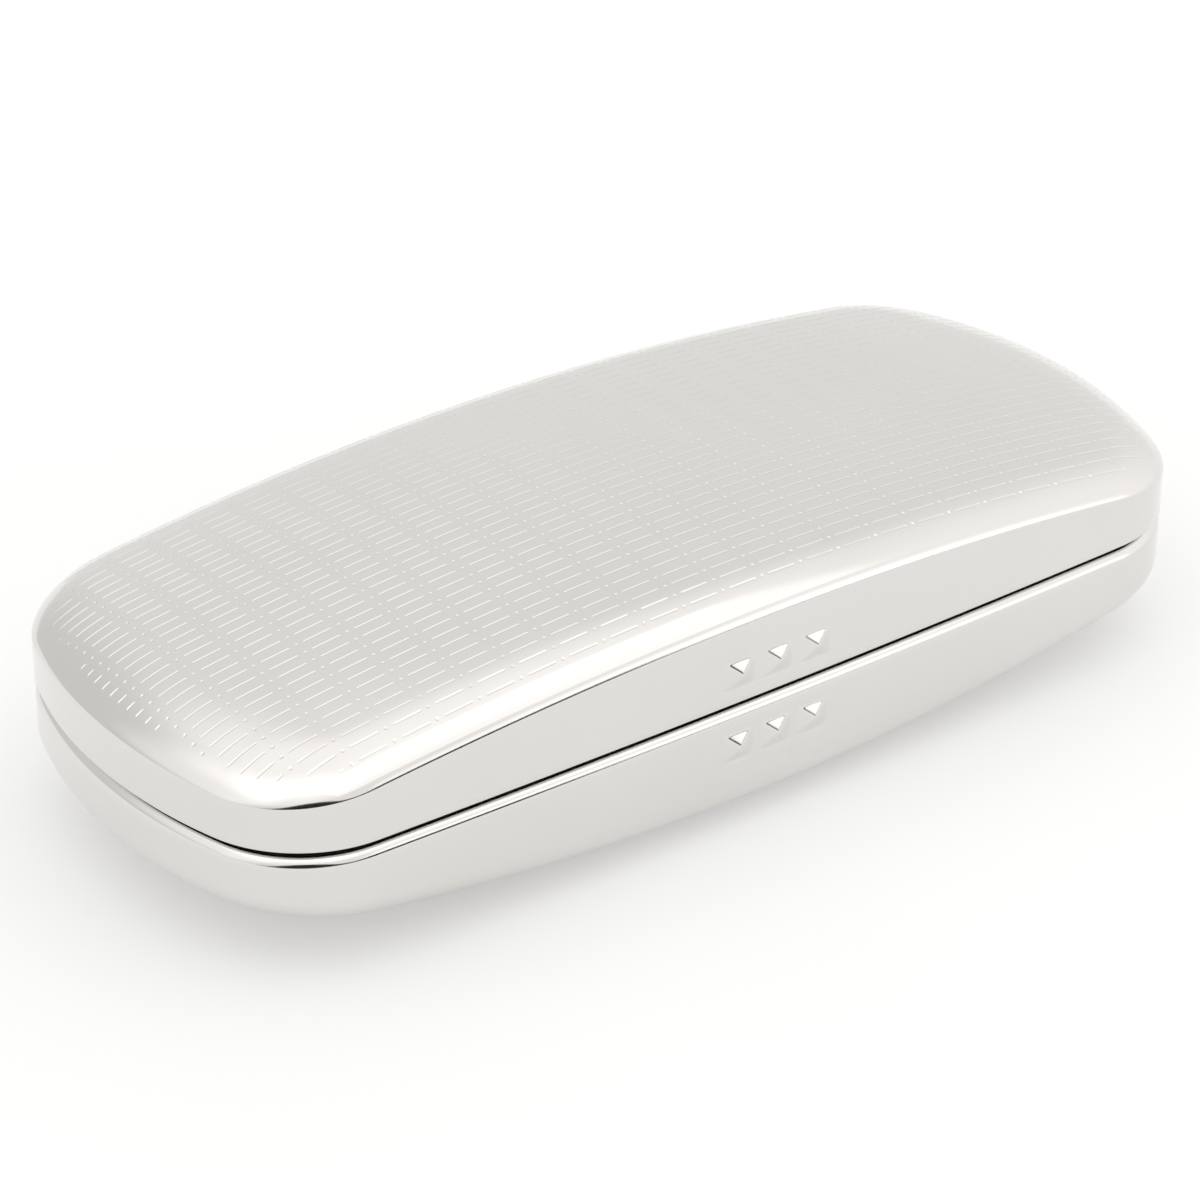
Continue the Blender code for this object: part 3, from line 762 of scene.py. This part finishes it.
def joined(name, works, body, finish, nodes, sharp=35):
    """One piece made of several closed bmeshes."""
    verts, faces = [], []
    for work in works:
        start = len(verts)
        work.verts.index_update()
        verts += [tuple(v.co) for v in work.verts]
        faces += [[start + v.index for v in f.verts] for f in work.faces]
        work.free()
    obj = made(name, verts, faces, body, finish, nodes)
    smooth_flat(obj, sharp)
    return obj


def cut(obj, works):
    """Cuts closed bmeshes from a piece and keeps the result."""
    helpers = []
    for work in works:
        mesh = bpy.data.meshes.new("cutter")
        bmesh.ops.recalc_face_normals(work, faces=work.faces)
        bmesh.ops.translate(work, verts=work.verts, vec=ORIGIN)
        work.to_mesh(mesh)
        work.free()
        helper = bpy.data.objects.new("cutter", mesh)
        bpy.context.scene.collection.objects.link(helper)
        step = obj.modifiers.new("cut", "BOOLEAN")
        step.operation, step.solver, step.object = "DIFFERENCE", "EXACT", helper
        helpers.append(helper)
    graph = bpy.context.evaluated_depsgraph_get()
    result = bpy.data.meshes.new_from_object(obj.evaluated_get(graph))
    obj.modifiers.clear()
    obj.data = result
    for helper in helpers:
        bpy.data.objects.remove(helper, do_unlink=True)
    smooth_flat(obj)


def rounded(profile, radius=0.25 * MM, steps=3):
    """A closed (inset, height) profile with its corners rounded."""
    points = [np.array(p) for p in profile]
    out = []
    for before, here, after in zip(points[-1:] + points[:-1], points, points[1:] + points[:1]):
        start = here + (before - here) / np.linalg.norm(before - here) * radius
        stop = here + (after - here) / np.linalg.norm(after - here) * radius
        for step in range(steps + 1):
            t = step / steps
            out.append(start * (1 - t) ** 2 + here * 2 * t * (1 - t) + stop * t**2)
    return out


def windows():
    """What the spring clips need cut from a frame."""
    return [
        block((x - WINDOW_HALF, x + WINDOW_HALF), WINDOW_IN, (-WINDOW_Z, WINDOW_Z), 0)
        for x in SPRING_XS
    ]


def rim_frame(name, side, profile):
    """A moulded ring with its hinge tab, spring windows, hinge pocket and screw seats."""
    finish, node = "black_moulding", f"{name}_frame"
    sweep = Sweep(side_xs(1.2 * MM))
    for inset, height in rounded(profile):
        sweep.ring(inset, height)
    sweep.close(0)
    ring = sweep.made(f"{name}_ring", name, finish, (node,))
    tools = windows()
    pocket_z = sorted(side * z for z in POCKET_Z)
    tools.append(block((-NOTCH_HALF, NOTCH_HALF), (-3 * MM, POCKET_IN), pocket_z, 0))
    cut_z = sorted(side * z for z in TAB_CUT[1])
    tools.append(block((-TAB_HALF, TAB_HALF), TAB_CUT[0], cut_z, 0))
    if side < 0:
        tools.append(block(*STOP_POCKET, 0))
    cut(ring, tools)
    tab_z = sorted(side * z for z in TAB_Z)
    plate = block((-TAB_HALF, TAB_HALF), (POCKET_IN, FRAME_IN - 0.05 * MM), tab_z, 0)
    tab = joined(f"{name}_tab", [plate], name, finish, (node,))
    seat = [(0, 0), (0, SEAT_R), (SEAT_DEEP, SEAT_R), (SEAT_DEEP, 0)]
    cut(tab, windows() + [turned_in(seat, x, side, SEAT_IN) for x in SCREW_XS])


def turned_in(profile, x, side, inward):
    """A turned solid that points into the case, at a screw's place."""
    work = lathe(profile, (0.0, 0.0, 0.0), 32)
    turn = Matrix.Rotation(math.radians(-90), 3, "Z")
    for vert in work.verts:
        vert.co = turn @ vert.co + Vector((x, HALF_WIDTH - inward, side * SCREW_Z))
    return work


def liner(name, form, drop, rim, nodes):
    """A formed tray with a soft flocked face, cut away round the spring clips."""
    sweep = Sweep(side_xs(1.2 * MM, *WINDOW_XS))
    outer = form.inward(LINER_DEPTH, (LINER_EDGE, LINER_EDGE), (drop, drop))
    inner = outer.inward(LINER_T, (LINER_EDGE, LINER_EDGE), (drop, drop))
    side = form.side
    top = sweep.behind(*WINDOW_XS, side * WINDOW_Z, rim)
    soft = LINER_T / 2
    sweep.ring(LINER_INSET, outer.wall_end(sweep, LINER_INSET))
    for step in range(13):
        turn = math.pi * step / 12
        inset = LINER_INSET + soft * (1 - math.cos(turn))
        sweep.ring(inset, top + side * soft * (1 - math.sin(turn)))
    sweep.ring(LINER_INSET + LINER_T, inner.wall_end(sweep, LINER_INSET + LINER_T))
    for ring in inner.edge_rings(sweep, LINER_INSET + LINER_T, 12):
        sweep.ring(*ring)
    sweep.scaled(inner, LINER_INSET + LINER_T + LINER_EDGE, 0.0, 16)
    sweep.last = np.arange(0, sweep.count)
    for ring in outer.edge_rings(sweep, LINER_INSET, 6):
        sweep.ring(*ring)
    sweep.scaled(outer, LINER_INSET + LINER_EDGE, 0.0, 8)
    tray = sweep.made(name, "lid" if side > 0 else "base", "grey_flock", nodes)
    smooth_flat(tray, 50)


def pad(name, form, node):
    """The foam sheet under a liner: crowned, with a rounded edge, thinner where it is cut."""
    sweep = Sweep(side_xs(2.4 * MM), 12, 10)
    side = form.side
    near, far = FOAM_DEPTHS
    soft = (far - near) / 2
    for step in range(9):
        turn = math.pi * (step / 8 - 0.5)
        inset = FOAM_INSET + soft * (1 - math.cos(turn))
        x, y = sweep.at(np.full(sweep.count, inset)).T
        depth = (near + far) / 2 + soft * math.sin(turn)
        sweep.ring(inset, side * (form.dome(x, y) - depth))
    sweep.scaled(form, FOAM_INSET + soft, -side * far, 10)
    sweep.last = np.arange(0, sweep.count)
    sweep.scaled(form, FOAM_INSET + soft, -side * near, 10)
    sheet = sweep.made(name, "lid" if side > 0 else "base", "foam", (node,))


rim_frame(
    "lid",
    1,
    [(FRAME_OUT, LID_FRAME_Z[0]), (FRAME_OUT, LID_FRAME_Z[1]),
     (FRAME_IN, LID_FRAME_Z[1]), (FRAME_IN, LID_FRAME_Z[0])],
)
rim_frame(
    "base",
    -1,
    [(FRAME_OUT, BASE_FRAME_Z[0]), (FRAME_OUT, BASE_FRAME_Z[1]), (LIP_OUT, BASE_FRAME_Z[1]),
     (LIP_OUT, LIP_TOP), (FRAME_IN, LIP_TOP), (FRAME_IN, BASE_FRAME_Z[0])],
)
liner("lid_tray", LID, 4.0 * MM, 1.1 * MM, ("lid_liner",))
liner("base_tray", BASE, 4.5 * MM, 0.5 * MM, ("base_liner",))
pad("lid_pad", LID, "lid_foam")
pad("base_pad", BASE, "base_foam")


# ---------------------------------------------------------------- hinge, springs and stop
KNUCKLE_R = 1.7 * MM
BORE_R = 0.85 * MM
LEAF_HALF = 22.0 * MM
LEAF_IN = (1.1 * MM, 1.66 * MM)
LEAF_Z = (2.1 * MM, 9.0 * MM)
LEAF_ROUND = 0.12 * MM
KNUCKLE_GAP, KNUCKLE_SOFT = 0.4 * MM, 0.15 * MM
ROOT_Z = (1.0 * MM, LEAF_Z[0] + 0.4 * MM)
ROOT_ROUND = 0.05 * MM
PIN_R, PIN_HALF = 0.75 * MM, 21.6 * MM
HEAD_IN, HEAD_T, HEAD_R, SHANK_R = 3.85 * MM, 0.55 * MM, 1.5 * MM, 0.7 * MM
HEAD_ROUND, TIP_SOFT, TIP_IN = 0.35 * MM, 0.1 * MM, 1.15 * MM
CROSS_LONG, CROSS_SHORT, CROSS_R = 0.8 * MM, 0.17 * MM, 0.4 * MM
CROSS_IN = (HEAD_IN - 0.28 * MM, HEAD_IN + 0.5 * MM)


def leaf(body, side, first, node):
    """A plate with rolled knuckles, their ends broken."""
    length = (2 * LEAF_HALF - 4 * KNUCKLE_GAP) / 5
    soft, mid = KNUCKLE_SOFT, CORNER_MID * KNUCKLE_SOFT
    plate_z, root_z = (sorted(side * z for z in zs) for zs in (LEAF_Z, ROOT_Z))
    works = [block((-LEAF_HALF, LEAF_HALF), LEAF_IN, plate_z, LEAF_ROUND)]
    for index in range(first, 5, 2):
        start = -LEAF_HALF + index * (length + KNUCKLE_GAP)
        profile = [
            (0, BORE_R + soft), (0, KNUCKLE_R - soft), (mid, KNUCKLE_R - mid),
            (soft, KNUCKLE_R), (length - soft, KNUCKLE_R),
            (length - mid, KNUCKLE_R - mid), (length, KNUCKLE_R - soft),
            (length, BORE_R + soft), (length - soft, BORE_R), (soft, BORE_R),
        ]
        works.append(lathe(profile, (start, HALF_WIDTH, 0.0)))
        works.append(block((start, start + length), LEAF_IN, root_z, ROOT_ROUND))
    joined(f"{body}_hinge_leaf", works, body, "plated_steel", (node,))


def screw_heads(body, side, nodes):
    """Pan-head screws with a cross recess, seen from inside the case."""
    depth = HEAD_IN - TIP_IN
    for index, (x, node) in enumerate(zip(SCREW_XS, nodes), 1):
        dome = [
            (HEAD_T * math.sin(t), HEAD_R - HEAD_ROUND * (1 - math.cos(t)) * 2)
            for t in np.linspace(0, math.pi / 2, 6)
        ]
        base = depth - HEAD_T
        profile = [(0, 0), (0, SHANK_R - TIP_SOFT), (TIP_SOFT, SHANK_R), (base, SHANK_R)]
        profile += [(base + along, radius) for along, radius in dome]
        profile += [(depth, CROSS_R), (depth, 0)]
        work = turned_in(profile, x, side, TIP_IN)
        one = joined(f"{body}_screw_{index}", [work], body, "plated_steel", (node,))
        z, long, short = side * SCREW_Z, CROSS_LONG, CROSS_SHORT
        cut(one, [
            block((x - a, x + a), CROSS_IN, (z - b, z + b), 0)
            for a, b in ((long, short), (short, long))
        ])


def pin():
    """The hinge pin, its ends peened into shallow domes."""
    ends = [(0.0, 0.0), (0.03 * MM, 0.4 * MM), (0.12 * MM, 0.65 * MM), (0.3 * MM, PIN_R)]
    profile = ends + [(2 * PIN_HALF - along, radius) for along, radius in ends[::-1]]
    work = lathe(profile, (-PIN_HALF, HALF_WIDTH, 0.0), 32)
    joined("pivot_pin", [work], "base", "plated_steel", ("hinge_pin",))


SPRING_HOOK_Z = 3.9 * MM
SPRING_ROOT, SPRING_BOW = 2.4 * MM, 3.8 * MM
SPRING_HALF, SPRING_T, SPRING_SOFT = 3.0 * MM, 0.5 * MM, 0.1 * MM
HOOK_IN = (1.2 * MM, 1.8 * MM)


def spring(index, x, node):
    """A bowed strip hooked into both leaves."""
    path = [(inward, -SPRING_HOOK_Z) for inward in HOOK_IN]
    for turn in np.linspace(-math.pi / 2, math.pi / 2, 33):
        path.append(
            (SPRING_ROOT + SPRING_BOW * math.cos(turn), SPRING_HOOK_Z * math.sin(turn))
        )
    path = np.array(path + [(inward, SPRING_HOOK_Z) for inward in HOOK_IN[::-1]])
    along = np.gradient(path, axis=0)
    along /= np.linalg.norm(along, axis=1)[:, None]
    normal = np.c_[along[:, 1], -along[:, 0]]
    half, soft = SPRING_T / 2, SPRING_SOFT
    section = [
        (-SPRING_HALF, -half + soft), (-SPRING_HALF + soft, -half), (SPRING_HALF - soft, -half),
        (SPRING_HALF, -half + soft), (SPRING_HALF, half - soft), (SPRING_HALF - soft, half),
        (-SPRING_HALF + soft, half), (-SPRING_HALF, half - soft),
    ]
    verts, faces, count = [], [], len(section)
    for (inward, height), way in zip(path, normal):
        for across, out in section:
            verts.append((x + across, HALF_WIDTH - inward - way[0] * out, height + way[1] * out))
    for step in range(len(path) - 1):
        for k in range(count):
            m = (k + 1) % count
            a, b = step * count, (step + 1) * count
            faces.append((a + k, a + m, b + m, b + k))
    last = (len(path) - 1) * count
    faces += [tuple(range(count))[::-1], tuple(range(last, last + count))]
    strip = made(f"clip_{index}", verts, faces, None, "spring_steel", (node,))
    smooth_flat(strip)
    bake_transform(strip)


def stop():
    """The small rubber bumper that the lid closes on."""
    work = block(*STOP, 0.35 * MM)
    joined("bumper", [work], "base", "grey_rubber", ("front_stop",), 60)


leaf("base", -1, 0, "base_leaf")
leaf("lid", 1, 1, "lid_leaf")
screw_heads("base", -1, [f"base_leaf_screw_{i}" for i in (1, 2, 3)])
screw_heads("lid", 1, [f"lid_leaf_screw_{i}" for i in (1, 2, 3)])
pin()
for number, place in enumerate(SPRING_XS, 1):
    spring(number, place, f"snap_spring_{number}")
stop()


# ---------------------------------------------------------------- studio
CAMERA_AZIMUTH = -0.6457
CAMERA_ELEVATION = 0.5342
CAMERA_ROLL = 0.0101
CAMERA_DISTANCE = 0.5652
CAMERA_SHIFT = (-2.31 * MM, -2.84 * MM)
CAMERA_LENS = 126.9
# The tent's own strength, and its brighter and darker patches: the way to each, the cosines
# between which it fades in, and how much it adds
TENT = 0.93
GLOWS = (
    ((0.35, -0.80, 0.35), 0.25, 0.9, 0.10),
    ((0.52, -0.84, 0.16), 0.92, 0.99, 0.40),
    ((0.93, -0.29, 0.24), 0.60, 0.98, 0.16),
    ((-0.10, -0.02, 1.0), 0.66, 0.94, 0.34),
    ((-0.48, -0.40, 0.78), 0.80, 0.98, 0.22),
    ((-0.80, 0.15, 0.58), 0.78, 0.96, 0.28),
    ((-0.55, 0.82, 0.15), 0.60, 0.95, -0.15),
)
FLOOR_HALF, FLOOR_GLOW = 6.0, 0.32
SOFTBOX_SIZE, SOFTBOX_ENERGY, SOFTBOX_PLACE = (1.6, 1.0), 1.6, (0.25, -0.9, 1.3)
CARD_DISTANCE, CARD_COLOUR = 1.4, (0.02, 0.02, 0.022)
# The tent's opening toward the camera, dark, and narrowing to either side
OPENING = (
    (-71, 0.3, 1.2), (-63, -0.3, 4.0), (-56, -0.8, 12.0), (-50, -0.8, 21.0), (-44, -0.8, 27.0),
    (-37, -0.8, 29.0), (-29, -0.8, 28.0), (-21, -0.8, 23.0), (-14, -0.8, 14.0), (-7, -0.8, 8.0),
    (1, -0.8, 6.5), (9, -0.8, 8.0), (14, -0.8, 11.0), (27, -0.8, 11.0), (28.5, -0.6, 2.6),
    (33, -0.2, 1.6), (38, 0.0, 1.1), (44, 0.1, 0.7),
)


def camera():
    az, el = CAMERA_AZIMUTH, CAMERA_ELEVATION
    back = Vector((math.sin(az) * math.cos(el), -math.cos(az) * math.cos(el), math.sin(el)))
    right = Vector((math.cos(az), math.sin(az), 0.0))
    up = back.cross(right)
    data = bpy.data.cameras.new("camera")
    data.lens = CAMERA_LENS
    data.sensor_width = 36.0
    data.clip_start, data.clip_end = 0.01, 20.0
    obj = bpy.data.objects.new("camera", data)
    bpy.context.scene.collection.objects.link(obj)
    bpy.context.scene.camera = obj
    cos, sin = math.cos(CAMERA_ROLL), math.sin(CAMERA_ROLL)
    across, above = right * cos + up * sin, -right * sin + up * cos
    place = ORIGIN + back * CAMERA_DISTANCE + right * CAMERA_SHIFT[0] + up * CAMERA_SHIFT[1]
    turn = Matrix((across, above, back)).transposed().to_4x4()
    obj.matrix_world = Matrix.Translation(place) @ turn


def world():
    """A white tent: brighter overhead and in patches to the front, a little darker behind."""
    made_world = bpy.data.worlds.new("tent")
    bpy.context.scene.world = made_world
    made_world.use_nodes = True
    tree = made_world.node_tree
    background = tree.nodes["Background"]
    place = tree.nodes.new("ShaderNodeTexCoord").outputs["Generated"]

    def glow(direction, low, high, amount):
        """amount where the sky faces direction, fading out between two cosines."""
        dot = tree.nodes.new("ShaderNodeVectorMath")
        dot.operation = "DOT_PRODUCT"
        dot.inputs[1].default_value = Vector(direction).normalized()
        tree.links.new(place, dot.inputs[0])
        fade = tree.nodes.new("ShaderNodeMapRange")
        fade.interpolation_type = "SMOOTHSTEP"
        for key, value in zip(("From Min", "From Max", "To Min", "To Max"), (low, high, 0, amount)):
            fade.inputs[key].default_value = value
        tree.links.new(dot.outputs["Value"], fade.inputs["Value"])
        return fade.outputs["Result"]

    total = glow((0, 0, 1), -2.0, -1.9, TENT)
    for part in [glow(*values) for values in GLOWS]:
        add = tree.nodes.new("ShaderNodeMath")
        add.operation = "ADD"
        tree.links.new(total, add.inputs[0])
        tree.links.new(part, add.inputs[1])
        total = add.outputs["Value"]
    background.inputs["Color"].default_value = (1.0, 0.995, 0.985, 1.0)
    tree.links.new(total, background.inputs["Strength"])


def emitter(name, colour):
    material = bpy.data.materials.new(name)
    material.use_nodes = True
    tree = material.node_tree
    tree.nodes.remove(tree.nodes["Principled BSDF"])
    light = tree.nodes.new("ShaderNodeEmission")
    light.inputs["Color"].default_value = (*colour, 1.0)
    tree.links.new(light.outputs["Emission"], tree.nodes["Material Output"].inputs["Surface"])
    return material


def card(name, profile, distance, colour):
    """A curved card round the case, seen only in reflections.

    profile gives (azimuth, lowest, highest) in degrees, azimuth 0 being to the front.
    """
    verts = []
    for azimuth, *levels in profile:
        az = math.radians(azimuth)
        for level in levels:
            way = Vector((math.sin(az), -math.cos(az), math.tan(math.radians(level))))
            verts.append(tuple(ORIGIN + way * distance))
    faces = [(2 * i, 2 * i + 2, 2 * i + 3, 2 * i + 1) for i in range(len(profile) - 1)]
    mesh = bpy.data.meshes.new(name)
    mesh.from_pydata(verts, [], faces)
    mesh.materials.append(emitter(name, colour))
    obj = bpy.data.objects.new(name, mesh)
    bpy.context.scene.collection.objects.link(obj)
    obj.visible_camera = False
    obj.visible_diffuse = False
    obj.visible_shadow = False


def floor():
    """Plain white sweep, a little luminous so that the case's shadow stays faint."""
    mesh = bpy.data.meshes.new("floor")
    size = FLOOR_HALF
    mesh.from_pydata(
        [(-size, -size, 0), (size, -size, 0), (size, size, 0), (-size, size, 0)],
        [],
        [(0, 1, 2, 3)],
    )
    n = Nodes("floor_white")
    n.tint(n.noise(8.0, 2.0), (0.57, 0.57, 0.567), (0.59, 0.59, 0.587))
    n.shader.inputs["Roughness"].default_value = 0.9
    n.shader.inputs["Emission Color"].default_value = (1.0, 1.0, 0.995, 1.0)
    n.shader.inputs["Emission Strength"].default_value = FLOOR_GLOW
    mesh.materials.append(n.material)
    obj = bpy.data.objects.new("floor", mesh)
    bpy.context.scene.collection.objects.link(obj)


def softbox():
    data = bpy.data.lights.new("softbox", "AREA")
    data.shape = "RECTANGLE"
    data.size, data.size_y = SOFTBOX_SIZE
    data.energy = SOFTBOX_ENERGY
    obj = bpy.data.objects.new("softbox", data)
    bpy.context.scene.collection.objects.link(obj)
    obj.location = SOFTBOX_PLACE
    obj.rotation_euler = (ORIGIN - obj.location).to_track_quat("-Z", "Y").to_euler()


camera()
world()
floor()
softbox()
card("opening", OPENING, CARD_DISTANCE, CARD_COLOUR)
bpy.context.scene.view_settings.view_transform = "Standard"
